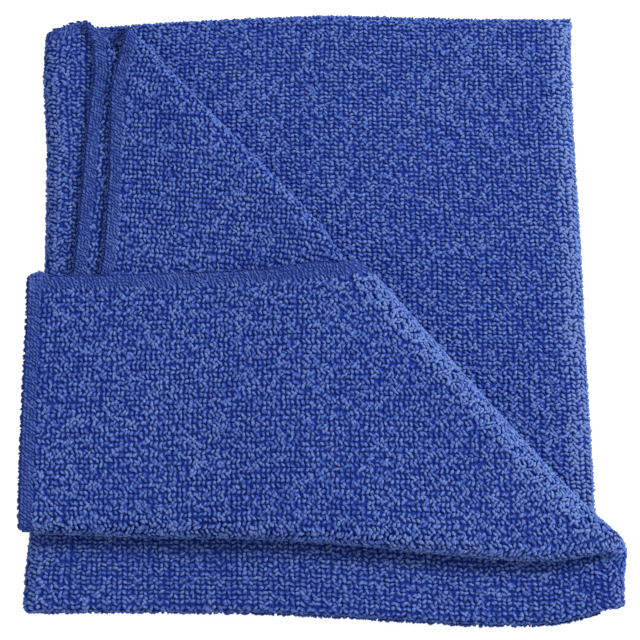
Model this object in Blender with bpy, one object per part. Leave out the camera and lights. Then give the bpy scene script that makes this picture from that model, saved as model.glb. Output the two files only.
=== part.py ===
"""A microfibre cleaning cloth, one sheet of looped knit with an overlocked hem, folded and laid down.

The flat sheet is folded four times, as a hand would do it:
1. in half, with the crease along the front edge;
2. over to the right, with the crease along the left edge;
3. the right-hand end of the two upper sheets is tucked under them;
4. what lies beyond a diagonal is turned over to the front left.

The sheet starts as a thin plate. Before each fold it is cut along lines next to the crease, and then its
points are carried round the crease. A fold moves every point by one rule that depends on its height, so
the layers stay a gap apart. All lengths are in metres, with +X to the right and +Y to the back.
"""

import itertools
import math

import bmesh
import bpy
import numpy as np

# The sheet.
CLOTH_WIDTH = 0.3957
CLOTH_DEPTH = 0.350
SHEET = 0.0015  # thickness of the knit with its loops pressed down
GAP = 0.0004  # air between two layers
PITCH = SHEET + GAP
CELL = 0.0125  # spacing of the cuts across a flat stretch

# The outline of the folded cloth, seen from above, with the middle of its base near (0, 0).
RIGHT_HEM = 0.0740
BACK_HEM = 0.0885
FRONT_EDGE = -0.0850
LEFT_EDGE = -0.0810
TUCK_EDGE = (0.0825, -0.0750)  # a point on the crease of the tucked end
TUCK_LEAN = 0.0565  # how far that crease leans to the right for each metre to the back
DIAGONAL_TOP = (-0.0562, 0.0865)  # the two ends of the diagonal fold's outer edge
DIAGONAL_TIP = (0.0832, -0.0688)

# Where the hem along the back runs, by the distance along the cloth from its right-hand hem. The sheet
# is a little out of square, as a washed cloth is. The lower half becomes the base, and the upper half
# is what the first fold brings over it.
HEM_COLUMNS = ("along", "lower_half", "upper_half")
HEM_ROWS = (
    (0.000, 0.0888, 0.0920),
    (0.075, 0.0890, 0.0924),
    (0.132, 0.0880, 0.0893),
    (0.152, 0.0855, 0.0880),
    (0.162, 0.0895, 0.0882),
    (0.168, 0.0896, 0.0880),
    (0.173, 0.0868, 0.0874),
    (0.182, 0.0852, 0.0883),
    (0.200, 0.0851, 0.0899),
    (0.226, 0.0850, 0.0873),
    (0.250, 0.0850, 0.0860),
    (0.318, 0.0930, 0.0900),
    (0.396, 0.0940, 0.0925),
)
NEAR_HEM_STEP = 0.0025  # the lower half's right-hand hem stops this short of the upper half's
STEP_PAST_CREASE, STEP_FROM_HEM = (0.0, 0.03), (0.06, 0.0)  # where that builds up
FAR_HEM_LEAN = 0.003  # how far the left-hand hem comes in for each metre away from the first crease
LEAN_AT, LEAN_ALONG = 0.241, (0.32, 0.39)  # the distance from the crease where it does not, and its reach

# The length of sheet that each fold takes up, and the number of facets round it.
FRONT_ARC, FRONT_FACETS = math.pi * PITCH / 2, 4
LEFT_ARC, LEFT_FACETS = 0.0090, 6
TUCK_ARC, TUCK_FACETS = 0.0060, 6
DIAGONAL_FACETS = 7

# The diagonal fold, with a row for each layer from the innermost out: how far from the fold's outer edge
# the layer starts to bend, at four stations from the fold's top to its tip, and the length of sheet that
# the bend takes at the two ends. STATIONS are shares of the way down.
STATIONS = (0.0, 0.40, 0.47, 1.0)
DIAGONAL_COLUMNS = ("top", "above_flap", "flap_hem", "tip", "arc_top", "arc_tip")
DIAGONAL_ROWS = (
    (-0.0082, -0.0075, -0.0074, -0.0064, 0.0030, 0.0100),
    (-0.0030, -0.0034, -0.0057, -0.0064, 0.0090, 0.0100),
    (-0.0030, -0.0034, -0.0057, -0.0064, 0.0100, 0.0100),
    (-0.0030, -0.0034, -0.0057, -0.0064, 0.0100, 0.0100),
)
EVEN_X, EVEN_RUN = (0.025, 0.070), (0.0, 0.012)  # where the turned layers come level at their crease

# The layers, by number from the table up. The base is layers 0 and 1.
TUCKED_OUTER, TUCKED_INNER, UPPER_INNER, UPPER_OUTER = 2, 3, 4, 5
TURNED_TOP = 9

# How the upper layers settle on the base where nothing is tucked under them.
TUCKED_CORNER = (0.007, 0.014)  # where the tucked end's hem meets the diagonal
TUCKED_HEM_LEAN = 0.150  # how far that hem leans to the right for each metre to the back
SETTLE_OVER = 0.045

# Soft shapes that the hand leaves. A pair says where a shape starts and where it is full.
SWELL, SWELL_X, SWELL_Y = 0.0022, (-0.064, -0.034), (0.014, 0.044)  # of what shows behind the flap
SWELL_LAYERS = (3, 5)
CURL = 0.0014  # of the upper half's hem, past the lower half's
CURL_X = (RIGHT_HEM - 0.0018, RIGHT_HEM + 0.0004)
CURL_Y = (BACK_HEM + 0.0013, BACK_HEM + 0.0035)
CURL_PAST_CREASE = (FRONT_EDGE + 0.040, FRONT_EDGE + 0.070)
CURL_CUTS = (0.0008, 0.0020)  # cuts that let a hem curl, by their distance from it
SAG, SAG_AT, SAG_WIDTH, FRONT_Y = 0.0016, 0.046, 0.030, (-0.040, -0.080)  # of the front edge
CORNER, CORNER_X = 0.0032, (0.060, 0.082)  # how far the front edge runs back at the tucked end
FRONT_SLOPE, FRONT_SLOPE_X = 0.0021, (0.020, -0.070)  # and towards the left edge
FLARE, FLARE_X, FLARE_Y = 0.0017, (0.045, 0.075), (0.010, -0.050)  # of the base's hem, near the front
DENT, DENT_X = 0.0019, (-0.050, -0.080)  # of the left edge, between its corners
DENT_FRONT, DENT_BACK = (-0.084, -0.054), (0.078, 0.048)
RIPPLE, RIPPLE_LENGTH = 0.0005, 0.110
RIPPLE_COLUMNS = ("moved", "along", "length", "phase")  # the two directions as 0 for X and 1 for Y
RIPPLE_ROWS = (
    (0, 1, 0.1100, 1.0),
    (1, 0, 0.1375, 2.0),
)

NEAR = 0.0001  # a point this near a cut counts as on it

COLOUR = (0.045, 0.085, 0.330, 1.0)


def level(layer):
    """Height of the underside of a layer."""
    return layer * PITCH


def above(layer):
    """Height of the middle of the gap above a layer."""
    return level(layer + 1) - GAP / 2


def ramp(x, start, full):
    """0 on the near side of start, 1 from full on, and a smooth rise in between."""
    x = np.clip((x - start) / (full - start), 0.0, 1.0)
    return x * x * (3.0 - 2.0 * x)


def clear_scene():
    for obj in list(bpy.data.objects):
        bpy.data.objects.remove(obj, do_unlink=True)


def read(bm):
    return np.array([vert.co for vert in bm.verts])


def write(bm, points):
    for vert, point in zip(bm.verts, points):
        vert.co = point


def in_heights(low, high):
    """A test for faces that lie between two heights."""
    margin = GAP / 4
    return lambda face: all(
        low - margin < vert.co.z < high + margin for vert in face.verts
    )


def cut(bm, point, normal, chosen=in_heights(-1.0, 1.0)):
    """Cuts the chosen faces along an upright plane."""
    faces = [face for face in bm.faces if chosen(face)]
    edges = {edge for face in faces for edge in face.edges}
    verts = {vert for face in faces for vert in face.verts}
    bmesh.ops.bisect_plane(
        bm,
        geom=[*verts, *edges, *faces],
        dist=NEAR,
        plane_co=(*point, 0.0),
        plane_no=(*normal, 0.0),
    )


def bend(past, height, start, arc, axis):
    """Carries points round a crease, given how far past it they are and their height.

    The sheet bends from start on, and the half turn about the axis height takes arc of its length.
    From there it runs back flat. Every point keeps its distance from the axis height.
    """
    radius = axis - height
    turn = np.pi * np.clip((past - start) / arc, 0.0, 1.0)
    run_back = np.maximum(past - start - arc, 0.0)
    bent = np.minimum(past, start) + np.abs(radius) * np.sin(turn) - run_back
    return bent, axis - radius * np.cos(turn), turn, run_back


def flat_plate():
    """The flat sheet, with its lower half where it will lie, cut into cells and at the first crease."""
    bm = bmesh.new()
    bmesh.ops.create_cube(bm, size=1.0)
    for vert in bm.verts:
        vert.co.x = RIGHT_HEM + (vert.co.x - 0.5) * CLOTH_WIDTH
        vert.co.y = BACK_HEM + (vert.co.y - 0.5) * CLOTH_DEPTH
        vert.co.z = (vert.co.z + 0.5) * SHEET
    along = np.arange(CELL, CLOTH_WIDTH - CELL / 2, CELL)
    for x in RIGHT_HEM - np.array((*CURL_CUTS, *along)):
        cut(bm, (x, 0.0), (1.0, 0.0))
    crease = FRONT_EDGE + PITCH - GAP / 2
    creases = crease - np.linspace(0.0, FRONT_ARC, FRONT_FACETS + 1)
    lower = np.arange(crease + CELL, BACK_HEM - CELL / 2, CELL)
    upper_hem = BACK_HEM - CLOTH_DEPTH
    upper = np.arange(creases[-1] - CELL, upper_hem + CELL / 2, -CELL)
    for y in (*lower, *creases, *upper, *(upper_hem + np.array(CURL_CUTS))):
        cut(bm, (0.0, y), (0.0, 1.0))
    return bm, crease


def draw_out_of_square(bm, crease):
    """Moves the hems to where they really run."""
    points = read(bm)
    x, y = points[:, 0], points[:, 1]
    table = np.array(HEM_ROWS)
    along = RIGHT_HEM - x
    lower, upper = (
        np.interp(along, table[:, 0], table[:, HEM_COLUMNS.index(name)]) - crease
        for name in HEM_COLUMNS[1:]
    )
    from_lower = np.maximum(y - crease, 0.0)
    from_upper = np.maximum(crease - FRONT_ARC - y, 0.0)
    upper_depth = CLOTH_DEPTH - FRONT_ARC - (BACK_HEM - crease)
    step = ramp(from_lower, *STEP_PAST_CREASE) * ramp(along, *STEP_FROM_HEM)
    lean = (from_lower + from_upper - LEAN_AT) * ramp(along, *LEAN_ALONG)
    points[:, 0] += FAR_HEM_LEAN * lean - NEAR_HEM_STEP * step
    points[:, 1] += from_lower * (lower / (BACK_HEM - crease) - 1.0)
    points[:, 1] -= from_upper * (upper / upper_depth - 1.0)
    write(bm, points)


def fold_in_half(bm, crease):
    """The first fold, round the front edge."""
    points = read(bm)
    past, height, _, _ = bend(
        crease - points[:, 1], points[:, 2], 0.0, FRONT_ARC, above(0)
    )
    points[:, 1], points[:, 2] = crease - past, height
    write(bm, points)


def fold_left_over(bm):
    """The second fold, round the left edge, with room under the upper layers for the tucked end.

    A point's share says how much of that room is below it.
    """
    axis = (level(1) + SHEET + level(UPPER_INNER)) / 2
    start = -LEFT_EDGE - axis
    for past in start + np.linspace(0.0, LEFT_ARC, LEFT_FACETS + 1):
        cut(bm, (-past, 0.0), (1.0, 0.0))
    points = read(bm)
    past, height, turn, _ = bend(-points[:, 0], points[:, 2], start, LEFT_ARC, axis)
    points[:, 0], points[:, 2] = -past, height
    write(bm, points)
    share = bm.verts.layers.float.new("share")
    for vert, value in zip(bm.verts, (1.0 - np.cos(turn)) / 2):
        vert[share] = value


def tuck_end_under(bm):
    """The third fold: the right-hand end of the two upper layers goes under them."""
    across = np.array((1.0, -TUCK_LEAN)) / math.hypot(1.0, TUCK_LEAN)
    axis = above(TUCKED_INNER)
    start = np.dot(across, TUCK_EDGE) - (level(UPPER_OUTER) + SHEET - axis)
    upper_only = in_heights(level(UPPER_INNER), level(UPPER_OUTER) + SHEET)
    for past in start + np.linspace(0.0, TUCK_ARC, TUCK_FACETS + 1):
        cut(bm, across * past, across, upper_only)
    points = read(bm)
    before = points[:, :2] @ across
    past, height, _, _ = bend(before, points[:, 2], start, TUCK_ARC, axis)
    moved = points[:, 2] > above(1)
    points[:, :2] += np.outer(np.where(moved, past - before, 0.0), across)
    points[:, 2] = np.where(moved, height, points[:, 2])
    write(bm, points)


def draw_edges_in(bm):
    """Draws the left edge in between its corners, and the front edge back towards the left."""
    points = read(bm)
    x, y = points[:, 0].copy(), points[:, 1].copy()
    points[:, 0] += DENT * ramp(x, *DENT_X) * ramp(y, *DENT_FRONT) * ramp(y, *DENT_BACK)
    points[:, 1] += FRONT_SLOPE * ramp(y, *FRONT_Y) * ramp(x, *FRONT_SLOPE_X)
    write(bm, points)


def turn_over_diagonal(bm):
    """The fourth fold: of the upper layers, what lies beyond the diagonal goes to the front left."""
    top, tip = np.array(DIAGONAL_TOP), np.array(DIAGONAL_TIP)
    length = np.linalg.norm(tip - top)
    down = (tip - top) / length
    across = np.array((-down[1], down[0]))
    axis = above(UPPER_OUTER)
    layers = [dict(zip(DIAGONAL_COLUMNS, row)) for row in DIAGONAL_ROWS]
    edges = []
    for number, layer in enumerate(layers):
        low = level(UPPER_OUTER - number)
        edges += [axis - low - SHEET, axis - low]
        cut_at_diagonal(bm, top, tip, layer, in_heights(low, low + SHEET))
    outermost = layers[-1]
    cut_at_diagonal(bm, top, tip, outermost, is_tuck_crease)

    points = read(bm)
    plan = points[:, :2] - top
    before, down_share = plan @ across, plan @ down / length
    radius = axis - points[:, 2]
    here = {
        name: np.interp(radius, edges, np.repeat([row[name] for row in layers], 2))
        for name in DIAGONAL_COLUMNS
    }
    start = here["top"].copy()
    stations = zip(STATIONS, DIAGONAL_COLUMNS)
    for (share, name), (next_share, next_name) in itertools.pairwise(stations):
        passed = np.clip((down_share - share) / (next_share - share), 0.0, 1.0)
        start += (here[next_name] - here[name]) * passed
    arc = here["arc_top"] + (here["arc_tip"] - here["arc_top"]) * down_share
    past, height, turn, run_back = bend(before, points[:, 2], start, arc, axis)
    uneven = 2 * (outermost["tip"] - start) + outermost["arc_tip"] - arc
    even = ramp(points[:, 0], *EVEN_X)
    even[points[:, 2] < above(TUCKED_INNER)] = 1.0
    past += uneven * even * ramp(run_back, *EVEN_RUN)
    moved = (points[:, 2] > above(1)) & (turn > 0.0)
    points[:, :2] += np.outer(np.where(moved, past - before, 0.0), across)
    points[:, 2] = np.where(moved, height, points[:, 2])
    write(bm, points)


def cut_at_diagonal(bm, top, tip, layer, chosen):
    """Cuts a layer along the lines between which the diagonal fold bends it."""
    across = np.array((top[1] - tip[1], tip[0] - top[0])) / np.linalg.norm(tip - top)
    for share in np.linspace(0.0, 1.0, DIAGONAL_FACETS + 1):
        begin = top + across * (layer["top"] + share * layer["arc_top"])
        end = tip + across * (layer["tip"] + share * layer["arc_tip"])
        normal = np.array((begin[1] - end[1], end[0] - begin[0]))
        cut(bm, begin, normal / np.linalg.norm(normal), chosen)


def is_tuck_crease(face):
    """Whether a face belongs to the bend that joins an upper layer to a tucked one."""
    heights = [vert.co.z for vert in face.verts]
    in_one_layer = any(
        level(layer) - GAP / 4 < min(heights) and max(heights) < above(layer)
        for layer in range(TUCKED_OUTER, UPPER_OUTER + 1)
    )
    return min(heights) > above(1) and not in_one_layer


def settle(bm):
    """Lets the upper layers down onto the base where nothing is tucked under them."""
    share = bm.verts.layers.float["share"]
    shares = np.array([vert[share] for vert in bm.verts])
    points = read(bm)
    from_corner = points[:, :2] - TUCKED_CORNER
    behind = np.maximum(from_corner[:, 1], 0.0)
    hem = TUCKED_HEM_LEAN * np.minimum(from_corner[:, 1], 0.0)
    left_of = np.maximum(hem - from_corner[:, 0], 0.0)
    room = level(2) * ramp(np.hypot(left_of, behind), 0.0, SETTLE_OVER)
    points[:, 2] -= shares * room
    write(bm, points)


def soften(bm):
    """The swell behind the flap, the curled and flared hem, the sagging front edge and a faint ripple."""
    points = read(bm)
    x, y, z = points.T.copy()
    lifted = ramp(z, *(level(layer) for layer in SWELL_LAYERS))
    points[:, 2] += SWELL * ramp(x, *SWELL_X) * ramp(y, *SWELL_Y) * lifted
    curled = (z > above(0)) & (z < above(1))
    curl = np.maximum(ramp(x, *CURL_X), ramp(y, *CURL_Y)) * ramp(y, *CURL_PAST_CREASE)
    points[:, 2] -= np.where(curled, CURL * curl, 0.0)
    front = ramp(y, *FRONT_Y)
    points[:, 1] -= SAG * front * np.exp(-(((x - SAG_AT) / SAG_WIDTH) ** 2))
    points[:, 1] += CORNER * front * ramp(x, *CORNER_X)
    in_base = z < above(1)
    points[:, 0] += FLARE * in_base * ramp(x, *FLARE_X) * ramp(y, *FLARE_Y)
    for row in RIPPLE_ROWS:
        ripple = dict(zip(RIPPLE_COLUMNS, row))
        turns = (x, y)[ripple["along"]] / ripple["length"]
        points[:, ripple["moved"]] += RIPPLE * np.sin(math.tau * turns + ripple["phase"])
    wave = math.tau / RIPPLE_LENGTH
    points[:, 2] += RIPPLE * np.sin(wave * x) * np.sin(wave * y) * z / level(TURNED_TOP)
    write(bm, points)


def material():
    blue = bpy.data.materials.new("blue microfibre")
    blue.use_nodes = True
    shader = blue.node_tree.nodes["Principled BSDF"]
    shader.inputs["Base Color"].default_value = COLOUR
    shader.inputs["Roughness"].default_value = 0.95
    shader.inputs["Metallic"].default_value = 0.0
    return blue


def make_cloth():
    bm, crease = flat_plate()
    draw_out_of_square(bm, crease)
    fold_in_half(bm, crease)
    fold_left_over(bm)
    tuck_end_under(bm)
    draw_edges_in(bm)
    turn_over_diagonal(bm)
    bmesh.ops.triangulate(bm, faces=bm.faces[:])
    settle(bm)
    soften(bm)
    points = read(bm)
    centre = (points.max(axis=0) + points.min(axis=0)) / 2
    points[:, :2] -= centre[:2]
    write(bm, points)
    mesh = bpy.data.meshes.new("cloth")
    bm.to_mesh(mesh)
    bm.free()
    mesh.materials.append(material())
    mesh.shade_smooth()
    mesh.set_sharp_from_angle(angle=math.radians(40.0))
    cloth = bpy.data.objects.new("cloth", mesh)
    bpy.context.scene.collection.objects.link(cloth)


clear_scene()
make_cloth()
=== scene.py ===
"""The looks of a folded blue microfibre cloth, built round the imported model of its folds.

Lengths are in metres, +X is right, +Y is back and +Z is up. The cloth is worked out from its flat
sheet: a point of it is given by how far along it is from its right-hand hem, how deep it is from the
hem of its lower half, and its height in the sheet's thickness.
"""

import itertools
import math

import bpy
import numpy as np
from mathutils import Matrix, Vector


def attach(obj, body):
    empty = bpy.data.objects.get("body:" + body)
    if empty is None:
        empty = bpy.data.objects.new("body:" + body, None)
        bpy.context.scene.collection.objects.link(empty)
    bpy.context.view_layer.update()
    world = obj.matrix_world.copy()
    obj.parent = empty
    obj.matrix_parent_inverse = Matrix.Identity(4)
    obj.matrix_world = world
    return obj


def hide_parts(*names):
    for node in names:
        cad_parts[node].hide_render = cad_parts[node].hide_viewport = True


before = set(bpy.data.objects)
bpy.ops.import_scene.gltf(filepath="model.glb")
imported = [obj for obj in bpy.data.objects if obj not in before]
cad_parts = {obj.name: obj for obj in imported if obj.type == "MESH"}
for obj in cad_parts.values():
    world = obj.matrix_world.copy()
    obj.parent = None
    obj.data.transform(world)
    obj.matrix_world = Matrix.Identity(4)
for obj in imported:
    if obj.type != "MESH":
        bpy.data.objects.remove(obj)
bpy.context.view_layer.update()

# The camera looks steeply down on the cloth from the front, as someone does who stands at the table. Its
# height angle and distance come from how the cloth's outline narrows towards the back.
CLOTH_MIDDLE = (0.00081921, 0.00291729)  # of the folded cloth's outline, where its folds are worked out
CAMERA_HEIGHT_ANGLE, CAMERA_DISTANCE, CAMERA_LENS, CAMERA_NEAREST = 75.0, 0.52, 102.375, 0.01

camera = bpy.data.objects.new("camera", bpy.data.cameras.new("camera"))
bpy.context.scene.collection.objects.link(camera)
look_at = Vector((-CLOTH_MIDDLE[0], -CLOTH_MIDDLE[1], 0.0))
steepness = math.radians(CAMERA_HEIGHT_ANGLE)
towards_camera = Vector((0.0, -math.cos(steepness), math.sin(steepness)))
camera.location = look_at + towards_camera * CAMERA_DISTANCE
camera.rotation_euler = (-towards_camera).to_track_quat("-Z", "Y").to_euler()
camera.data.lens = CAMERA_LENS
camera.data.clip_start = CAMERA_NEAREST
bpy.context.scene.camera = camera


# The ground of the cloth: a warp-knitted sheet of split polyester and polyamide yarn, 40 by 35 cm. It is
# doubled along the front, folded over from the left, its free end is tucked under, and a corner is
# turned over along the diagonal. Each fold is a rule that carries points round a crease.
CLOTH_WIDTH = 0.3957
CLOTH_DEPTH = 0.350
SHEET = 0.0015  # thickness of the cloth with its loops
GAP = 0.0004
PITCH = SHEET + GAP

# Where the hems of the lower half, the creases and the diagonal run in plan.
RIGHT_HEM, BACK_HEM = 0.0740, 0.0885
FRONT_EDGE, LEFT_EDGE = -0.0850, -0.0810
TUCK_EDGE, TUCK_LEAN = (0.0825, -0.0750), 0.0565
DIAGONAL_TOP, DIAGONAL_TIP = (-0.0562, 0.0865), (0.0832, -0.0688)
# How far back the hems of both halves run, by the way along the cloth.
EDGE_COLUMNS = ("along", "lower_half", "upper_half")
EDGE_ROWS = (
    (0.000, 0.0888, 0.0920),
    (0.075, 0.0890, 0.0924),
    (0.132, 0.0880, 0.0893),
    (0.152, 0.0855, 0.0880),
    (0.162, 0.0895, 0.0882),
    (0.168, 0.0896, 0.0880),
    (0.173, 0.0868, 0.0874),
    (0.182, 0.0852, 0.0883),
    (0.200, 0.0851, 0.0899),
    (0.226, 0.0850, 0.0873),
    (0.250, 0.0850, 0.0860),
    (0.318, 0.0930, 0.0900),
    (0.396, 0.0940, 0.0925),
)
NEAR_HEM_STEP, STEP_PAST_CREASE, STEP_FROM_HEM = 0.0025, (0.0, 0.03), (0.06, 0.0)
FAR_HEM_LEAN, LEAN_AT, LEAN_ALONG = 0.003, 0.241, (0.32, 0.39)
FRONT_ARC, LEFT_ARC, TUCK_ARC = math.pi * PITCH / 2, 0.0090, 0.0060

# Where the layers start to bend beyond the diagonal, at each share of the way down it, and over what
# arc: a row for each layer, from the top one down.
STATIONS = (0.0, 0.40, 0.47, 1.0)
DIAGONAL_COLUMNS = ("top", "above_flap", "flap_hem", "tip", "arc_top", "arc_tip")
DIAGONAL_ROWS = (
    (-0.0082, -0.0075, -0.0074, -0.0064, 0.0030, 0.0100),
    (-0.0030, -0.0034, -0.0057, -0.0064, 0.0090, 0.0100),
    (-0.0030, -0.0034, -0.0057, -0.0064, 0.0100, 0.0100),
    (-0.0030, -0.0034, -0.0057, -0.0064, 0.0100, 0.0100),
)
EVEN_X, EVEN_RUN = (0.025, 0.070), (0.0, 0.012)

# Layers, counted up from the table, and where the upper part settles beyond the tucked end.
TUCKED_INNER, UPPER_INNER, UPPER_OUTER, TURNED_TOP = 3, 4, 5, 9
TUCKED_CORNER, TUCKED_HEM_LEAN, SETTLE_OVER = (0.007, 0.014), 0.150, 0.045

# What softens the folded cloth: how far it moves, and from where to where each move grows.
SWELL, SWELL_X, SWELL_Y, SWELL_LAYERS = 0.0022, (-0.064, -0.034), (0.014, 0.044), (3, 5)
CURL = 0.0014
CURL_X = (RIGHT_HEM - 0.0018, RIGHT_HEM + 0.0004)
CURL_Y = (BACK_HEM + 0.0013, BACK_HEM + 0.0035)
CURL_PAST_CREASE = (FRONT_EDGE + 0.040, FRONT_EDGE + 0.070)
SAG, SAG_AT, SAG_WIDTH, FRONT_Y = 0.0016, 0.046, 0.030, (-0.040, -0.080)
CORNER, CORNER_X = 0.0032, (0.060, 0.082)
FRONT_SLOPE, FRONT_SLOPE_X = 0.0021, (0.020, -0.070)
FLARE, FLARE_X, FLARE_Y = 0.0017, (0.045, 0.075), (0.010, -0.050)
DENT, DENT_X, DENT_FRONT, DENT_BACK = 0.0019, (-0.050, -0.080), (-0.084, -0.054), (0.078, 0.048)
RIPPLE, RIPPLE_LENGTH = 0.0005, 0.110
RIPPLE_COLUMNS = ("moved", "along", "length", "phase")
RIPPLE_ROWS = ((0, 1, 0.1100, 1.0), (1, 0, 0.1375, 2.0))


def level(layer):
    """The height of a layer's underside: its number times the pitch of the layers."""
    return layer * PITCH


def above(layer):
    """The height of the middle of the gap above a layer."""
    return level(layer + 1) - GAP / 2


def ramp(x, start, full):
    """0 before start, 1 past full, and three t squared less two t cubed in between."""
    t = np.clip((x - start) / (full - start), 0.0, 1.0)
    return t * t * (3.0 - 2.0 * t)


def bend(past, height, start, arc, axis):
    """Half a turn about the axis height, spread over arc of the sheet's length from start on.

    A point keeps its distance from the axis height. Past the turn the sheet runs straight back.
    """
    radius = axis - height
    turn = np.pi * np.clip((past - start) / arc, 0.0, 1.0)
    run_back = np.maximum(past - start - arc, 0.0)
    bent = np.minimum(past, start) + np.abs(radius) * np.sin(turn) - run_back
    return bent, axis - radius * np.cos(turn), turn, run_back


def drawn_out_of_square(along, depth):
    """Plan place in the flat sheet, moved so that the hems run where the table of hems says.

    The lower half is stretched from the first crease to its hem, and so is the upper half.
    """
    crease = FRONT_EDGE + PITCH - GAP / 2
    x, y = RIGHT_HEM - along, BACK_HEM - depth
    table = np.array(EDGE_ROWS)
    lower, upper = (
        np.interp(along, table[:, 0], table[:, EDGE_COLUMNS.index(name)]) - crease
        for name in EDGE_COLUMNS[1:]
    )
    from_lower = np.maximum(y - crease, 0.0)
    from_upper = np.maximum(crease - FRONT_ARC - y, 0.0)
    upper_depth = CLOTH_DEPTH - FRONT_ARC - (BACK_HEM - crease)
    step = ramp(from_lower, *STEP_PAST_CREASE) * ramp(along, *STEP_FROM_HEM)
    lean = (from_lower + from_upper - LEAN_AT) * ramp(along, *LEAN_ALONG)
    x = x + FAR_HEM_LEAN * lean - NEAR_HEM_STEP * step
    y = y + from_lower * (lower / (BACK_HEM - crease) - 1.0)
    return x, y - from_upper * (upper / upper_depth - 1.0), crease


def turned_over_diagonal(x, y, z):
    """The corner beyond the diagonal goes up and over to the front left, each layer with its own bend.

    Where a layer starts to bend is read from its row at the share of the way down the diagonal.
    """
    top, tip = np.array(DIAGONAL_TOP), np.array(DIAGONAL_TIP)
    length = np.linalg.norm(tip - top)
    down = (tip - top) / length
    across = np.array((-down[1], down[0]))
    axis = above(UPPER_OUTER)
    layers = [dict(zip(DIAGONAL_COLUMNS, row)) for row in DIAGONAL_ROWS]
    edges = []
    for number in range(len(layers)):
        low = level(UPPER_OUTER - number)
        edges += [axis - low - SHEET, axis - low]
    plan = np.stack([x, y], axis=-1) - top
    before, down_share = plan @ across, plan @ down / length
    here = {
        name: np.interp(axis - z, edges, np.repeat([row[name] for row in layers], 2))
        for name in DIAGONAL_COLUMNS
    }
    start = here["top"].copy()
    stations = zip(STATIONS, DIAGONAL_COLUMNS)
    for (share, name), (next_share, next_name) in itertools.pairwise(stations):
        passed = np.clip((down_share - share) / (next_share - share), 0.0, 1.0)
        start += (here[next_name] - here[name]) * passed
    arc = here["arc_top"] + (here["arc_tip"] - here["arc_top"]) * down_share
    past, height, turn, run_back = bend(before, z, start, arc, axis)
    uneven = 2 * (layers[-1]["tip"] - start) + layers[-1]["arc_tip"] - arc
    even = np.where(z < above(TUCKED_INNER), 1.0, ramp(x, *EVEN_X))
    past = past + uneven * even * ramp(run_back, *EVEN_RUN)
    moved = (z > above(1)) & (turn > 0.0)
    shift = np.where(moved, past - before, 0.0)
    return x + shift * across[0], y + shift * across[1], np.where(moved, height, z)


def softened(x, y, z):
    """The swell behind the flap, the curled, flared hem, the sagging front edge and faint ripples.

    Each is a height or a push times ramps of the place, and a ripple is a sine of it.
    """
    lifted = ramp(z, *(level(layer) for layer in SWELL_LAYERS))
    up = SWELL * ramp(x, *SWELL_X) * ramp(y, *SWELL_Y) * lifted
    curled = (z > above(0)) & (z < above(1))
    curl = np.maximum(ramp(x, *CURL_X), ramp(y, *CURL_Y)) * ramp(y, *CURL_PAST_CREASE)
    up = up - np.where(curled, CURL * curl, 0.0)
    wave = math.tau / RIPPLE_LENGTH
    up = up + RIPPLE * np.sin(wave * x) * np.sin(wave * y) * z / level(TURNED_TOP)
    front = ramp(y, *FRONT_Y)
    back = CORNER * front * ramp(x, *CORNER_X)
    back = back - SAG * front * np.exp(-(((x - SAG_AT) / SAG_WIDTH) ** 2))
    flared = FLARE * (z < above(1)) * ramp(x, *FLARE_X) * ramp(y, *FLARE_Y)
    moves = [flared, back]
    for row in RIPPLE_ROWS:
        ripple = dict(zip(RIPPLE_COLUMNS, row))
        turns = (x, y)[ripple["along"]] / ripple["length"]
        wave = RIPPLE * np.sin(math.tau * turns + ripple["phase"])
        moves[ripple["moved"]] = moves[ripple["moved"]] + wave
    return x + moves[0], y + moves[1], z + up


def folded(along, depth, height):
    """Where points of the flat cloth lie once it is folded: the four folds in turn, then it settles."""
    x, y, crease = drawn_out_of_square(along, depth)
    past, z, _, _ = bend(crease - y, height, 0.0, FRONT_ARC, above(0))
    y = crease - past
    left_axis = (level(1) + SHEET + level(UPPER_INNER)) / 2
    past, z, turn, _ = bend(-x, z, -LEFT_EDGE - left_axis, LEFT_ARC, left_axis)
    x, share = -past, (1.0 - np.cos(turn)) / 2

    across = np.array((1.0, -TUCK_LEAN)) / math.hypot(1.0, TUCK_LEAN)
    tuck_axis = above(TUCKED_INNER)
    start = np.dot(across, TUCK_EDGE) - (level(UPPER_OUTER) + SHEET - tuck_axis)
    before = x * across[0] + y * across[1]
    past, tucked, _, _ = bend(before, z, start, TUCK_ARC, tuck_axis)
    moved = z > above(1)
    shift = np.where(moved, past - before, 0.0)
    x, y, z = x + shift * across[0], y + shift * across[1], np.where(moved, tucked, z)

    drawn_in = DENT * ramp(x, *DENT_X) * ramp(y, *DENT_FRONT) * ramp(y, *DENT_BACK)
    drawn_back = FRONT_SLOPE * ramp(y, *FRONT_Y) * ramp(x, *FRONT_SLOPE_X)
    x, y, z = turned_over_diagonal(x + drawn_in, y + drawn_back, z)

    from_x, from_y = x - TUCKED_CORNER[0], y - TUCKED_CORNER[1]
    left_of = np.maximum(TUCKED_HEM_LEAN * np.minimum(from_y, 0.0) - from_x, 0.0)
    away = np.hypot(left_of, np.maximum(from_y, 0.0))
    z = z - share * level(2) * ramp(away, 0.0, SETTLE_OVER)
    x, y, z = softened(x, y, z)
    return np.stack([x - CLOTH_MIDDLE[0], y - CLOTH_MIDDLE[1], z], axis=-1)


DECIMETRES = 10.0  # in a metre


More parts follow.
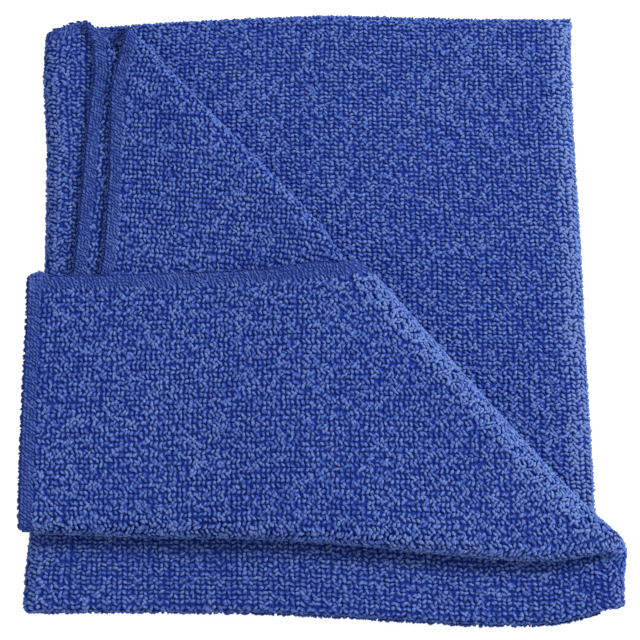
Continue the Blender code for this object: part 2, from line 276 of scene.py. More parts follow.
def mesh_piece(name, points, faces, flat_places, material, **shares):
    """A piece from arrays: its faces have three or four points, and each point has its flat place.

    The flat place becomes the UV map, in decimetres of cloth, and each share becomes an attribute.
    """
    mesh = bpy.data.meshes.new(name)
    mesh.vertices.add(len(points))
    mesh.vertices.foreach_set("co", np.ascontiguousarray(points, np.float32).ravel())
    sides = faces.shape[1]
    mesh.loops.add(faces.size)
    mesh.loops.foreach_set("vertex_index", faces.ravel().astype(np.int32))
    mesh.polygons.add(len(faces))
    mesh.polygons.foreach_set("loop_start", np.arange(0, faces.size, sides, dtype=np.int32))
    mesh.update(calc_edges=True)
    uv = mesh.uv_layers.new(name="flat cloth")
    uv.data.foreach_set("uv", (flat_places[faces.ravel()] * DECIMETRES).astype(np.float32).ravel())
    for share_name, values in shares.items():
        attribute = mesh.attributes.new(share_name, "FLOAT", "POINT")
        attribute.data.foreach_set("value", np.ascontiguousarray(values, np.float32).ravel())
    mesh.validate()
    mesh.shade_smooth()
    mesh.materials.append(material)
    piece = bpy.data.objects.new(name, mesh)
    bpy.context.scene.collection.objects.link(piece)
    return piece


def node(tree, kind, **settings):
    """A shader node with its settings. A setting that names an input socket fills that socket."""
    made = tree.nodes.new(kind)
    for key, value in settings.items():
        socket = key.replace("_", " ")
        if hasattr(made, key):
            setattr(made, key, value)
        elif isinstance(value, bpy.types.NodeSocket):
            tree.links.new(value, made.inputs[socket])
        else:
            made.inputs[socket].default_value = value
    return made


GROUND_LOW, GROUND_HIGH = 0.00045, 0.00105  # the two faces of the knit under its loops
GROUND_CELL, CREASE_CELL, CREASE_REACH = 0.0030, 0.0010, 0.004
CREASES_ALONG = (0.0, 0.1565, 0.3160)  # the right-hand hem and the middles of the left and tucked bends
CREASES_DEEP = (0.0, 0.1740, CLOTH_DEPTH)
GROUND_DARK, GROUND_LIGHT = (0.006, 0.020, 0.200), (0.020, 0.050, 0.300)
GROUND_STITCHES = 140.0  # in a decimetre of cloth
STITCH_DARK_AT, STITCH_BUMP, STITCH_DEPTH = 0.7, 0.8, 0.0003
GROUND_ROUGHNESS, GROUND_GLOSS = 0.95, 0.05


def lines_across(length, creases):
    """Places from 0 to length, a cell apart, and closer near the creases."""
    fine = length / math.ceil(length / CREASE_CELL)
    every = np.arange(0.0, length + fine / 2, fine)
    near = np.min(np.abs(every[:, None] - np.array(creases)), axis=1) < CREASE_REACH
    coarse = np.arange(len(every)) % round(GROUND_CELL / fine) == 0
    ends = np.isin(np.arange(len(every)), (0, len(every) - 1))
    return every[near | coarse | ends]


def closed_plate(rows, columns):
    """Faces of two grids of points, one on the other, and of the strip that joins their rims."""
    index = np.arange(rows * columns).reshape(rows, columns)
    low = np.stack([index[:-1, :-1], index[1:, :-1], index[1:, 1:], index[:-1, 1:]], axis=-1)
    low = low.reshape(-1, 4)
    high = low[:, ::-1] + rows * columns
    rim = np.concatenate([index[0, :-1], index[:-1, -1], index[-1, :0:-1], index[:0:-1, 0]])
    after = np.roll(rim, -1)
    sides = np.stack([rim, after, after + rows * columns, rim + rows * columns], axis=-1)
    return np.concatenate([low, high, sides])[:, ::-1]


def knit_ground_material():
    """Knit between the loops: small stitches, pale in their middles and dark where they meet."""
    material = bpy.data.materials.new("knit ground")
    material.use_nodes = True
    tree = material.node_tree
    shader = tree.nodes["Principled BSDF"]
    flat = node(tree, "ShaderNodeTexCoord").outputs["UV"]
    stitches = node(tree, "ShaderNodeTexVoronoi", Vector=flat, Scale=GROUND_STITCHES).outputs["Distance"]
    colours = node(tree, "ShaderNodeValToRGB", Fac=stitches)
    colours.color_ramp.elements[0].color = (*GROUND_LIGHT, 1.0)
    colours.color_ramp.elements[1].color = (*GROUND_DARK, 1.0)
    colours.color_ramp.elements[1].position = STITCH_DARK_AT
    bump = node(tree, "ShaderNodeBump", Height=stitches, invert=True)
    bump.inputs["Strength"].default_value = STITCH_BUMP
    bump.inputs["Distance"].default_value = STITCH_DEPTH
    tree.links.new(colours.outputs["Color"], shader.inputs["Base Color"])
    tree.links.new(bump.outputs["Normal"], shader.inputs["Normal"])
    shader.inputs["Roughness"].default_value = GROUND_ROUGHNESS
    shader.inputs["Specular IOR Level"].default_value = GROUND_GLOSS
    return material


ground_along = lines_across(CLOTH_WIDTH, CREASES_ALONG)
ground_deep = lines_across(CLOTH_DEPTH, CREASES_DEEP)
along, depth = (grid.ravel() for grid in np.meshgrid(ground_along, ground_deep, indexing="ij"))
ground = mesh_piece(
    "cloth_ground",
    np.concatenate([folded(along, depth, np.full(along.shape, h)) for h in (GROUND_LOW, GROUND_HIGH)]),
    closed_plate(len(ground_along), len(ground_deep)),
    np.tile(np.stack([along, depth], axis=-1), (2, 1)),
    knit_ground_material(),
)
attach(ground, "root")
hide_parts("cloth")


# The loops of the terry: thousands of short loops of fine split yarn that stand on both faces in rows,
# each longer along the cloth than across it, and slanted one way and then the other. They are knitted
# in with the ground. Only those that can be seen from outside the folded cloth are made.
WALE, COURSE = 0.00142, 0.00130  # spacing of the loops along the cloth and down it
LOOP = (0.00092, 0.00052, 0.00074)  # half length and half width at its foot, and its height
RINGS = ((-0.05, 1.05), (0.62, 0.78))  # height and width of a loop's two rings, as shares
SIDES, SIDES_BELOW = 5, 3  # points in a ring, and in a ring of the loops that lie on the table
LOOP_SCATTER, LOOP_SIZES, LOOP_LUMPS, LOOP_TILT = 0.09, 0.34, 0.50, 0.34
LOOP_SLANT, LOOP_TURN = 0.62, 0.26  # radians: the slant of each wale's loops, and how much it varies
# Where more loops stand: at parts of the spacing, from none at one spread of the sheet to all at another.
FILL_COLUMNS = ("part_along", "part_deep", "none_at", "all_at")
FILL_ROWS = (
    (0.0, 0.0, -1.0, 0.0),
    (0.5, 0.5, 0.89, 1.45),
    (0.5, 0.0, 1.45, 2.3),
    (0.0, 0.5, 1.45, 2.3),
)
HALF_DEPTH = 0.1740  # depth of the crease along the front
HEM_BAND = 0.0037  # width of the overlocked band
CURLED_TO = 0.1535  # the upper half's hem is curled under from the right-hand hem to here
LOOKS = ((90.0, 1), (62.0, 8), (35.0, 10), (8.0, 12), (-90.0, 1))  # height angles, and how many at each
LOOK_CELL, LOOK_SPACING = 0.0011, 0.0008
LOOK_SLACK, LOOK_SLACK_MOST = 0.0006, 0.0017  # how far a seen place may lie behind what is nearest
LOOK_SIDE = (0.0, 1.0, 0.02)  # a direction that no look has
LEAST_FACING = 0.05  # how much a face has to turn to a look to be seen
SHORT_STEP, ALMOST_NONE = 0.00015, 1e-12
HEM_SHEEN, HEM_SHEEN_FROM = 0.70, 0.0075  # painted sheen: loops beside the curled hem are made paler, by this share of the tone, where its sloping rim catches the light
BEND_SHEEN, BEND_SHEEN_SPREAD = 0.11, (1.25, 2.20)  # painted sheen: loops on the outside of a bend are made paler too, growing as the bend spreads them


def bead_faces(sides):
    """Triangles of a closed bead. Its points are a tip, a ring at its foot and one at its shoulder."""
    low = 1 + np.arange(sides)
    high = low + sides
    around = np.roll(low, -1)
    faces = [
        np.stack([low, around, around + sides], axis=-1),
        np.stack([low, around + sides, high], axis=-1),
        np.stack([high, around + sides, np.zeros_like(high)], axis=-1),
        np.stack([np.full(sides - 2, 1), low[2:], low[1:-1]], axis=-1),
    ]
    return np.concatenate(faces)


def looks_round(rings):
    """Directions out of the cloth: for each ring, so many steps round at that height angle."""
    looks = []
    for height_angle, steps in rings:
        h = math.radians(height_angle)
        for turn in np.arange(steps) * math.tau / steps:
            looks.append((math.cos(h) * math.cos(turn), math.cos(h) * math.sin(turn), math.sin(h)))
    return [np.array(look) for look in looks]


def seen_from_outside(points, outward, looks):
    """Whether each point is close to what is nearest along one of the looks, and faces it.

    The cloth is laid out as a fine lattice of points. For each look, plan cells keep the nearest depth.
    """
    lattice_along = np.arange(LOOK_SPACING / 2, CLOTH_WIDTH, LOOK_SPACING)
    lattice_deep = np.arange(LOOK_SPACING / 2, CLOTH_DEPTH, LOOK_SPACING)
    a, d = (grid.ravel() for grid in np.meshgrid(lattice_along, lattice_deep))
    lattice = folded(a, d, np.full(a.shape, SHEET / 2))
    seen = np.zeros(len(points), bool)
    for look in looks:
        right = np.cross(LOOK_SIDE, look)
        right /= np.linalg.norm(right)
        plane = np.stack([right, np.cross(look, right)], axis=-1)
        corner = (lattice @ plane).min(axis=0) - 2 * LOOK_CELL
        size = np.ceil(((lattice @ plane).max(axis=0) - corner) / LOOK_CELL).astype(int) + 3
        cells = np.floor((lattice @ plane - corner) / LOOK_CELL).astype(int)
        nearest = np.full(size, -np.inf)
        np.maximum.at(nearest, tuple(cells.T), lattice @ look)
        own = np.clip(np.floor((points @ plane - corner) / LOOK_CELL).astype(int), 0, size - 1)
        facing = np.clip(outward @ look, LEAST_FACING, 1.0)
        slack = LOOK_SLACK + LOOK_CELL * np.sqrt(1.0 - facing**2) / facing
        in_front = points @ look > nearest[tuple(own.T)] - np.minimum(slack, LOOK_SLACK_MOST)
        seen |= in_front & (facing > LEAST_FACING)
    return seen


def unit(vectors):
    """The same directions, one long: each vector over its length."""
    return vectors / np.maximum(np.linalg.norm(vectors, axis=1), ALMOST_NONE)[:, None]


def face_frame(along, depth, height, outward_round):
    """The point at that height, unit vectors along the cloth, across it and out of it, and the spread.

    The vectors are differences of the folded place over a short step, made square to each other. Out
    of the cloth is up for a quarter turn of outward_round and down for a quarter turn back. The spread
    is the area that a unit of flat cloth takes there.
    """
    step = SHORT_STEP
    point = folded(along, depth, height)
    by_along = folded(along + step, depth, height) - folded(along - step, depth, height)
    by_depth = folded(along, depth + step, height) - folded(along, depth - step, height)
    by_height = folded(along, depth, height + step) - folded(along, depth, height - step)
    normal = np.cross(by_along, by_depth)
    spread = np.linalg.norm(normal, axis=1) / (2 * step) ** 2
    normal = unit(normal)
    outward = normal * (outward_round * np.sign((normal * by_height).sum(axis=1)))[:, None]
    first = unit(by_along - (by_along * outward).sum(axis=1)[:, None] * outward)
    return point, first, np.cross(outward, first), outward, spread


def clear_of_hems(along, depth):
    """Whether a place is beside the bands of the hems and not on one. A curled hem has no band."""
    curled = (depth > HALF_DEPTH) & (along < CURLED_TO)
    right = np.where(depth > HALF_DEPTH, along + HEM_BAND, along)
    back = np.where(curled, CLOTH_DEPTH, CLOTH_DEPTH - depth)
    nearest = np.min(np.stack([right, CLOTH_WIDTH - along, depth, back]), axis=0)
    inside = (along > 0.0) & (depth < CLOTH_DEPTH)
    return inside & (nearest > HEM_BAND)


def hem_sheen_share(along, depth):
    """A share of painted sheen that grows to one towards the upper half's right-hand hem, where the loops
    are made paler as its curled rim catches the light.
    """
    return np.where(depth > HALF_DEPTH, ramp(along, HEM_SHEEN_FROM, 0.0), 0.0)


CLOUDS, CLOUD_DETAIL = 3.5, 3.0  # in a decimetre of cloth
FIBRES, FIBRE_DETAIL, FIBRE_BUMP, FIBRE_DEPTH = 3600.0, 2.0, 0.55, 0.00012
YARN_ROUGHNESS, YARN_GLOSS = 0.85, 0.10
SHEEN, SHEEN_ROUGHNESS, SHEEN_TINT = 0.12, 0.45, (0.35, 0.5, 1.0, 1.0)


def tone_of(tree, terms):
    """The sum of shader values, each times its share."""
    total = None
    for value, share in terms:
        added = node(tree, "ShaderNodeMath", operation="MULTIPLY_ADD")
        tree.links.new(value, added.inputs[0])
        added.inputs[1].default_value = share
        if total is None:
            added.inputs[2].default_value = 0.0
        else:
            tree.links.new(total, added.inputs[2])
        total = added.outputs[0]
    return total


def split_fibres(tree):
    """Fine noise in the piece's own place, as the split fibres of the yarn catch the light."""
    place = node(tree, "ShaderNodeTexCoord").outputs["Object"]
    noise = node(tree, "ShaderNodeTexNoise", Vector=place, Scale=FIBRES, Detail=FIBRE_DETAIL)
    return noise.outputs["Fac"]


def yarn_material(name, stops, shares):
    """Blue microfibre yarn: its colour runs through the stops as its tone grows.

    The tone sums the attributes for the lift and for each bead's own tone, soft clouds over the cloth and
    the split fibres, each times its share. The lift paints a bead lighter at its tip and darker at its
    foot, as painted highlight and painted shade; a bead's own tone is random, plus painted sheen where it
    is made paler.
    """
    material = bpy.data.materials.new(name)
    material.use_nodes = True
    tree = material.node_tree
    shader = tree.nodes["Principled BSDF"]
    flat = node(tree, "ShaderNodeTexCoord").outputs["UV"]
    clouds = node(tree, "ShaderNodeTexNoise", Vector=flat, Scale=CLOUDS, Detail=CLOUD_DETAIL)
    fine = split_fibres(tree)
    lift, shade = (
        node(tree, "ShaderNodeAttribute", attribute_name=share).outputs["Fac"]
        for share in ("lift", "shade")
    )
    tone = tone_of(tree, zip((lift, shade, clouds.outputs["Fac"], fine), shares))
    colours = node(tree, "ShaderNodeValToRGB", Fac=tone)
    ramp_stops = colours.color_ramp.elements
    while len(ramp_stops) < len(stops):
        ramp_stops.new(0.5)
    for stop, (position, colour) in zip(ramp_stops, stops):
        stop.position, stop.color = position, (*colour, 1.0)
    bump = node(tree, "ShaderNodeBump", Height=fine, Strength=FIBRE_BUMP, Distance=FIBRE_DEPTH)
    tree.links.new(colours.outputs["Color"], shader.inputs["Base Color"])
    tree.links.new(bump.outputs["Normal"], shader.inputs["Normal"])
    shader.inputs["Roughness"].default_value = YARN_ROUGHNESS
    shader.inputs["Specular IOR Level"].default_value = YARN_GLOSS
    shader.inputs["Sheen Weight"].default_value = SHEEN
    shader.inputs["Sheen Roughness"].default_value = SHEEN_ROUGHNESS
    shader.inputs["Sheen Tint"].default_value = SHEEN_TINT
    return material


def joined_beads(name, frames, flat_places, turned, painted_sheen, size, sides, material, chance):
    """Beads as one joined mesh: one at each frame, turned, tilted, sized and made lumpy by chance.

    A bead's points are its tip and, for each ring, cosines and sines times the ring's width, from a
    first angle that differs from bead to bead. They are stretched to its size, turned and set up.
    """
    point, first, second, outward = frames
    count = len(point)
    turn = (turned + LOOP_TURN * chance.normal(size=count))[:, None]
    own_size = (1.0 + LOOP_SIZES * (chance.random((count, 3)) - 0.5)) * size
    tilt = LOOP_TILT * chance.normal(size=(count, 2, 1))
    ring_height, ring_width = np.repeat(RINGS, sides, axis=0).T
    angle = math.tau * (np.tile(np.arange(sides), 2) / sides + chance.random((count, 1)))
    reach = ring_width * (1.0 + LOOP_LUMPS * (chance.random((count, 2 * sides)) - 0.5))
    none = np.zeros((count, 1))
    long = own_size[:, :1] * np.concatenate([none, reach * np.cos(angle)], axis=1)
    wide = own_size[:, 1:2] * np.concatenate([none, reach * np.sin(angle)], axis=1)
    lift = np.concatenate([[1.0], ring_height])
    up = own_size[:, 2:] * lift
    lean = np.maximum(up, 0.0)[:, None] * tilt
    ahead = np.cos(turn) * long - np.sin(turn) * wide + lean[:, 0]
    aside = np.sin(turn) * long + np.cos(turn) * wide + lean[:, 1]
    points = point[:, None] + up[:, :, None] * outward[:, None]
    points = points + ahead[:, :, None] * first[:, None] + aside[:, :, None] * second[:, None]
    points = points.reshape(-1, 3)
    points[:, 2] = np.maximum(points[:, 2], 0.0)
    faces = (np.arange(count)[:, None, None] * len(lift) + bead_faces(sides)).reshape(-1, 3)
    # each loop's own tone at random, plus its painted sheen
    own_shade = chance.random(count) + painted_sheen / TERRY_SHARES[1]
    piece = mesh_piece(
        name,
        points,
        faces,
        np.repeat(flat_places, len(lift), axis=0),
        material,
        # the lift paints each bead lighter at its tip and darker at its foot: painted highlight and
        # painted shade
        lift=np.tile(np.clip(lift, 0.0, 1.0), count),
        shade=np.repeat(own_shade, len(lift)),
    )
    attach(piece, "root")
    return piece


def terry(name, along_from_to, depth_from_to, outward_round, sides, looks, material, chance):
    """A stretch of loops on one face of the cloth.

    Loops stand on a lattice of wales and courses. Where a bend spreads the sheet, some of the places
    between them carry loops too: none up to one spread, all from another on, and a share in between.
    """
    height = GROUND_HIGH if outward_round > 0 else GROUND_LOW
    a = np.arange(along_from_to[0] + WALE / 2, along_from_to[1], WALE)
    d = np.arange(depth_from_to[0] + COURSE / 2, depth_from_to[1], COURSE)
    slants = np.where(np.arange(len(a)) % 2, 1.0, -1.0)
    a, d = (grid.ravel() for grid in np.meshgrid(a, d))
    slants = np.tile(slants, len(a) // len(slants))
    kept = []
    for row in FILL_ROWS:
        fill = dict(zip(FILL_COLUMNS, row))
        scatter = LOOP_SCATTER * chance.normal(size=(2, len(a)))
        place_along = a + WALE * (fill["part_along"] + scatter[0])
        place_deep = d + COURSE * (fill["part_deep"] + scatter[1])
        clear = clear_of_hems(place_along, place_deep)
        place_along, place_deep = place_along[clear], place_deep[clear]
        *frame_here, spread = face_frame(
            place_along, place_deep, np.full(place_along.shape, height), outward_round
        )
        share = (spread - fill["none_at"]) / (fill["all_at"] - fill["none_at"])
        use = chance.random(len(spread)) < share
        use &= seen_from_outside(frame_here[0], frame_here[3], looks)
        kept.append([v[use] for v in (*frame_here, place_along, place_deep, slants[clear], spread)])
    *frames, a, d, slants, spread = (np.concatenate(parts) for parts in zip(*kept))
    flat_places = np.stack([a, d], axis=-1)
    # painted sheen: loops beside the curled hem and on the outside of bends are made paler
    painted_sheen = HEM_SHEEN * hem_sheen_share(a, d) + BEND_SHEEN * ramp(spread, *BEND_SHEEN_SPREAD)
    turned = LOOP_SLANT * slants
    return joined_beads(name, frames, flat_places, turned, painted_sheen, LOOP, sides, material, chance)


# From the loops' dark feet to their pale tips: with the lift share this paints shade at the feet and a
# highlight at the tips.
TERRY_STOPS = (
    (0.20, (0.009, 0.030, 0.275)),
    (0.66, (0.035, 0.075, 0.325)),
    (1.00, (0.122, 0.194, 0.460)),
)
TERRY_SHARES = (0.54, 0.30, 0.16, 0.30)  # of the lift (painted highlight at the tips, painted shade at the feet), a loop's own tone with its painted sheen, the clouds and the fibres
terry_blue = yarn_material("terry loops", TERRY_STOPS, TERRY_SHARES)
outside_looks = looks_round(LOOKS)
LOOP_PIECE_COLUMNS = ("name", "along", "depth")
LOOP_PIECES = (
    ("loops_base", (0.0, 0.150), (HALF_DEPTH, CLOTH_DEPTH)),
    ("loops_left_edge", (0.150, 0.166), (0.0, CLOTH_DEPTH)),
    ("loops_underneath", (0.0, 0.075), (0.0, HALF_DEPTH)),
    ("loops_underneath_left", (0.075, 0.150), (0.0, HALF_DEPTH)),
    ("loops_front", (0.166, 0.310), (0.0, HALF_DEPTH)),
    ("loops_turned", (0.166, 0.310), (HALF_DEPTH, CLOTH_DEPTH)),
    ("loops_flap", (0.310, CLOTH_WIDTH), (0.0, HALF_DEPTH)),
    ("loops_tucked", (0.310, CLOTH_WIDTH), (HALF_DEPTH, CLOTH_DEPTH)),
)
for seed, row in enumerate(LOOP_PIECES):
    part = dict(zip(LOOP_PIECE_COLUMNS, row))
    for face, outward_round in (("lower", -1.0), ("upper", 1.0)):
        terry(
                part["name"] + "_" + face,
                part["along"],
                part["depth"],
                outward_round,
                SIDES_BELOW if "underneath" in part["name"] else SIDES,
                outside_looks,
                terry_blue,
                np.random.default_rng((seed, face == "upper")),
            )


# The loops round the curled hem: the upper half's hem is curled under from the right-hand corner to the
# left-hand bend, so what shows at its rim is terry, its loops standing out all round the edge.
RIM_ANGLE = 36.0  # degrees between the rows of loops round the rim
RIM_ANGLES = RIM_ANGLE * np.arange(-2, 3)  # from down through straight out to up
RIM_PITCH, RIM_REACH, RIM_SCATTER, RIM_STEP = 0.00134, 0.00012, 0.1, 0.0003
# painted sheen: the loops round the right-hand rim are made paler, where the curled rim catches the light
RIM_SHEEN = {"right": 0.4, "upper_side": 0.0}
RIM_LOOP = (0.00050, 0.00066, 0.00092)
RIM_COLUMNS = ("name", "edge", "start", "end")
RIM_PIECES = (
    ("loops_right_rim", "right", HALF_DEPTH + 0.002, CLOTH_DEPTH),
    ("loops_back_rim", "upper_side", 0.0, CURLED_TO),
)


def beside_edge(edge, run, inward):
    """Flat place of a point so far along an edge of the cloth, and so far in from it."""
    places = {
        "right": (inward, run),
        "end": (CLOTH_WIDTH - inward, run),
        "lower_side": (run, inward),
        "upper_side": (run, CLOTH_DEPTH - inward),
    }
    return places[edge]


def rim_loops(name, edge, start, end, material, chance):
    """Beads along an edge at each of the rim's angles, standing out from the middle of the sheet.

    Out is minus the way in times the angle's cosine, plus the way up times its sine.
    """
    angles = np.radians(RIM_ANGLES)
    run, angle = (grid.ravel() for grid in np.meshgrid(np.arange(start, end, RIM_PITCH), angles))
    every_other = 0.5 * (np.round(np.degrees(angle) / RIM_ANGLE) % 2)
    run = run + RIM_PITCH * (every_other + RIM_SCATTER * chance.normal(size=run.shape))
    middle = np.full(run.shape, SHEET / 2)
    step = np.full(run.shape, RIM_STEP)

    def place(inward, height):
        """The folded place so far in from the edge, at that height."""
        return folded(*beside_edge(edge, run, inward), height)

    inner = unit(place(step, middle) - place(0 * step, middle))
    upper = unit(place(step, middle + step) - place(step, middle - step))
    outward = unit(upper * np.sin(angle)[:, None] - inner * np.cos(angle)[:, None])
    ahead = unit(np.cross(upper, inner))
    second = np.cross(outward, ahead)
    point = place(0 * step, middle) + RIM_REACH * outward
    frames = (point, ahead, second, outward)
    flat_places = np.stack([*beside_edge(edge, run, 0 * step)], axis=-1)
    painted_sheen = np.full(len(run), RIM_SHEEN[edge])
    turned = np.zeros(len(run))
    return joined_beads(name, frames, flat_places, turned, painted_sheen, RIM_LOOP, SIDES, material, chance)


for seed, row in enumerate(RIM_PIECES):
    rim = dict(zip(RIM_COLUMNS, row))
    chance = np.random.default_rng((100, seed))
    rim_loops(**rim, material=terry_blue, chance=chance)


# The hems: the cloth's own edges, overlocked all round with three fluffy threads of the same blue. The
# threads wrap the rim in small scallops and cross both faces of the band on a slant, as short strokes
# of yarn over a sleeve.
STITCH, STITCH_STEPS, ROUND_STEPS = 0.0021, 4, 12
HEM_MIDDLE, HEM_THICK = SHEET / 2, 0.00044  # the band's middle, and how far its faces stand off it
SCALLOP = 0.00032
SQUARED = 0.4  # how round the band's section is: 1 is an ellipse, and 0 a rectangle
YARN = (0.00088, 0.00034, 0.00040)  # half length, half width and height of a stroke of yarn
YARN_PITCH, YARN_SCATTER = 0.00095, 0.2
YARN_ROWS = (0.0, 0.0007, 0.0016, 0.0025, 0.0033)  # how far in from the rim each row of strokes is
RUN_STEP, TURN_STEP = 0.0002, 0.05
# the sleeve stands low on the lift, so it is painted darker like the strokes' feet, as painted shade
SLEEVE_LIFT, SLEEVE_SHADE = 0.25, 0.5
HEM_STOPS = (
    (0.15, (0.006, 0.020, 0.180)),
    (0.60, (0.026, 0.056, 0.270)),
    (1.00, (0.095, 0.160, 0.420)),
)
# of the lift (painted highlight at the strokes' tips, painted shade at their feet), a stroke's own tone,
# the clouds and the fibres
HEM_SHARES = (0.50, 0.24, 0.16, 0.26)
HEM_COLUMNS = ("name", "edge", "start", "end", "slant")
HEM_PIECES = (
    ("hem_end", "end", 0.0, CLOTH_DEPTH, -0.96),
    ("hem_lower_side", "lower_side", 0.0, CLOTH_WIDTH, 0.70),
    ("hem_right", "right", 0.0, HALF_DEPTH + 0.002, -0.96),
    ("hem_upper_side", "upper_side", CURLED_TO, CLOTH_WIDTH, 0.70),
)


def closed_tube(rows, round_about):
    """Triangles of a tube from a grid of points that closes round, with a fan to a point at each end."""
    index = np.arange(rows * round_about).reshape(rows, round_about)
    a, b = index[:-1], index[1:]
    c, d = np.roll(b, -1, axis=1), np.roll(a, -1, axis=1)
    first_end, last_end = rows * round_about, rows * round_about + 1
    near, far = index[0], index[-1]
    parts = [
        np.stack([a, b, c], axis=-1).reshape(-1, 3),
        np.stack([a, c, d], axis=-1).reshape(-1, 3),
        np.stack([np.full(round_about, first_end), near, np.roll(near, -1)], axis=-1),
        np.stack([np.full(round_about, last_end), np.roll(far, -1), far], axis=-1),
    ]
    return np.concatenate(parts)


def round_the_edge(edge, run, turn):
    """Points of the band round an edge: a function of the run along it and the turn round the band.

    The section is a flat oval: the way in is a cosine, and the height a sine drawn towards a rectangle.
    On the rim, scallops stand out by the size of a sine of the run over the stitch.
    """
    cos, sin = np.cos(turn), np.sin(turn)
    scallop = SCALLOP * np.abs(np.sin(math.pi * run / STITCH)) * np.maximum(cos, 0.0) ** 2
    inward = HEM_BAND * (1.0 - cos) / 2 - scallop * cos
    height = HEM_MIDDLE + HEM_THICK * np.sign(sin) * np.abs(sin) ** SQUARED
    return folded(*beside_edge(edge, run, inward), height)


def sleeve(name, edge, start, end, material):
    """The closed tube of the band, which the strokes of yarn stand on.

    Its points are a grid of the run along the edge and the turn round the band.
    """
    steps = round((end - start) / STITCH * STITCH_STEPS)
    run, turn = np.meshgrid(
        np.linspace(start, end, steps), np.arange(ROUND_STEPS) * math.tau / ROUND_STEPS, indexing="ij"
    )
    ends = np.array([start, end])
    middles = folded(*beside_edge(edge, ends, np.full(2, HEM_BAND / 2)), np.full(2, HEM_MIDDLE))
    points = np.concatenate([round_the_edge(edge, run.ravel(), turn.ravel()), middles])
    points[:, 2] = np.maximum(points[:, 2], 0.0)
    faces = closed_tube(*run.shape)
    if edge in ("right", "upper_side"):
        faces = faces[:, ::-1]
    inward = HEM_BAND * (1.0 - np.cos(turn)) / 2
    flat_places = np.stack([run.ravel(), inward.ravel()], axis=-1)
    piece = mesh_piece(
        name,
        points,
        faces,
        np.concatenate([flat_places, np.stack([ends, 0 * ends], axis=-1)]),
        material,
        lift=np.full(len(points), SLEEVE_LIFT),
        shade=np.full(len(points), SLEEVE_SHADE),
    )
    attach(piece, "root")
    return piece


def strokes(name, edge, start, end, slant, looks, material, chance):
    """Short strokes of yarn on both faces of the band and on its rim, turned from the run by the slant.

    Each stands at a row's turn round the band, and each row starts a third of a pitch after the last.
    """
    turns = np.arccos(1.0 - 2.0 * np.array(YARN_ROWS) / HEM_BAND)
    turns = np.concatenate([turns, -turns[1:]])
    run, turn = (grid.ravel() for grid in np.meshgrid(np.arange(start, end, YARN_PITCH), turns))
    row = np.repeat(np.arange(len(turns)), len(run) // len(turns))
    run = run + YARN_PITCH * (row / 3 % 1 + YARN_SCATTER * chance.normal(size=run.shape))
    run = np.clip(run, start + YARN_PITCH / 2, end - YARN_PITCH / 2)
    by_run = round_the_edge(edge, run + RUN_STEP, turn) - round_the_edge(edge, run - RUN_STEP, turn)
    by_turn = round_the_edge(edge, run, turn + TURN_STEP) - round_the_edge(edge, run, turn - TURN_STEP)
    point = round_the_edge(edge, run, turn)
    inward = np.full(run.shape, HEM_BAND / 2)
    middle = folded(*beside_edge(edge, run, inward), np.full(run.shape, HEM_MIDDLE))
    first, outward = unit(by_run), unit(np.cross(by_turn, by_run))
    outward = outward * np.sign((outward * (point - middle)).sum(axis=1))[:, None]
    first = unit(first - (first * outward).sum(axis=1)[:, None] * outward)
    use = seen_from_outside(point, outward, looks)
    frames = [vectors[use] for vectors in (point, first, np.cross(outward, first), outward)]
    flat_places = np.stack([run, HEM_BAND * (1.0 - np.cos(turn)) / 2], axis=-1)[use]
    none = np.zeros(use.sum())
    return joined_beads(name, frames, flat_places, none + slant, none, YARN, SIDES, material, chance)


hem_blue = yarn_material("overlock thread", HEM_STOPS, HEM_SHARES)
for seed, row in enumerate(HEM_PIECES):
    hem = dict(zip(HEM_COLUMNS, row))
    slant = hem.pop("slant")
    sleeve(**hem, material=hem_blue)
    hem["name"] = hem["name"].replace("hem", "yarn")
    chance = np.random.default_rng((200, seed))
    strokes(**hem, slant=slant, looks=outside_looks, material=hem_blue, chance=chance)


# The tuft: the overlock starts and ends at the corner of the flap, where the ends of its threads stand
# out a little beyond the rim. It is the same yarn as the hem.
TUFT_AT, TUFT_HALF, TUFT_REACH, TUFT_STEP = 0.0030, 0.0026, 0.0014, 0.0004


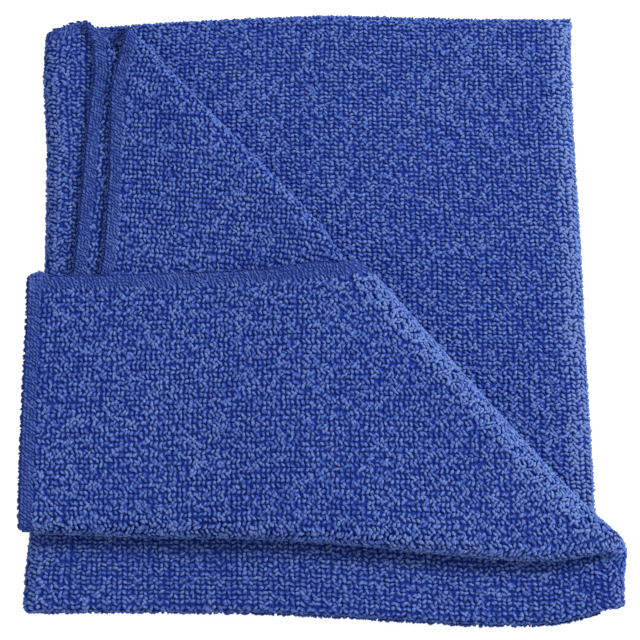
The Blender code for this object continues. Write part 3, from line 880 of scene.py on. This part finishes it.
def tuft(name, edge, material, chance):
    """Strokes of yarn in a small peak beyond the rim: its reach falls off to both sides of the middle."""
    along_rim = np.arange(TUFT_AT - TUFT_HALF, TUFT_AT + TUFT_HALF, TUFT_STEP)
    beyond_rim = np.arange(0.0, TUFT_REACH, TUFT_STEP)
    run, reach = (grid.ravel() for grid in np.meshgrid(along_rim, beyond_rim))
    inside = reach < TUFT_REACH * (1.0 - np.abs(run - TUFT_AT) / TUFT_HALF)
    a, d = beside_edge(edge, run[inside], -reach[inside])
    *frames, _ = face_frame(a, d, np.full(a.shape, HEM_MIDDLE), -1.0)
    flat_places = np.stack([a, d], axis=-1)
    none = np.zeros(len(a))
    return joined_beads(name, frames, flat_places, none, none, YARN, SIDES, material, chance)


tuft("yarn_tuft", "end", hem_blue, np.random.default_rng(300))


# The table: a plain white light table, which glows so that shadows on it stay pale. The light is soft
# and even from all round, with more from a window at the right.
FLOOR_COLOUR, FLOOR_ROUGHNESS = (0.27, 0.27, 0.27), 0.9
GLOW_COLOUR, FLOOR_GLOW = (1.0, 1.0, 1.0), 0.87
WINDOW_PLACE, WINDOW_SIZE, WINDOW_WATTS = Vector((0.68, 0.30, 0.62)), 0.35, 10.2
SKY_COLOUR, SKY_STRENGTH = (1.0, 1.0, 1.0), 0.745
floor_mesh = bpy.data.meshes.new("floor")
floor_mesh.from_pydata([(-4, -4, 0), (4, -4, 0), (4, 4, 0), (-4, 4, 0)], [], [(0, 1, 2, 3)])
floor = bpy.data.objects.new("floor", floor_mesh)
bpy.context.scene.collection.objects.link(floor)
floor_material = bpy.data.materials.new("white table")
floor_material.use_nodes = True
floor_shader = floor_material.node_tree.nodes["Principled BSDF"]
floor_shader.inputs["Base Color"].default_value = (*FLOOR_COLOUR, 1.0)
floor_shader.inputs["Roughness"].default_value = FLOOR_ROUGHNESS
floor_shader.inputs["Emission Color"].default_value = (*GLOW_COLOUR, 1.0)
floor_shader.inputs["Emission Strength"].default_value = FLOOR_GLOW
floor_mesh.materials.append(floor_material)

window_light = bpy.data.lights.new("window", "AREA")
window_light.shape, window_light.size, window_light.energy = "DISK", WINDOW_SIZE, WINDOW_WATTS
window = bpy.data.objects.new("window", window_light)
window.location = WINDOW_PLACE
window.rotation_euler = (-WINDOW_PLACE).to_track_quat("-Z", "Y").to_euler()
bpy.context.scene.collection.objects.link(window)

world = bpy.data.worlds.new("studio")
world.use_nodes = True
sky = world.node_tree.nodes["Background"]
sky.inputs["Color"].default_value = (*SKY_COLOUR, 1.0)
sky.inputs["Strength"].default_value = SKY_STRENGTH
bpy.context.scene.world = world
bpy.context.scene.view_settings.view_transform = "Standard"
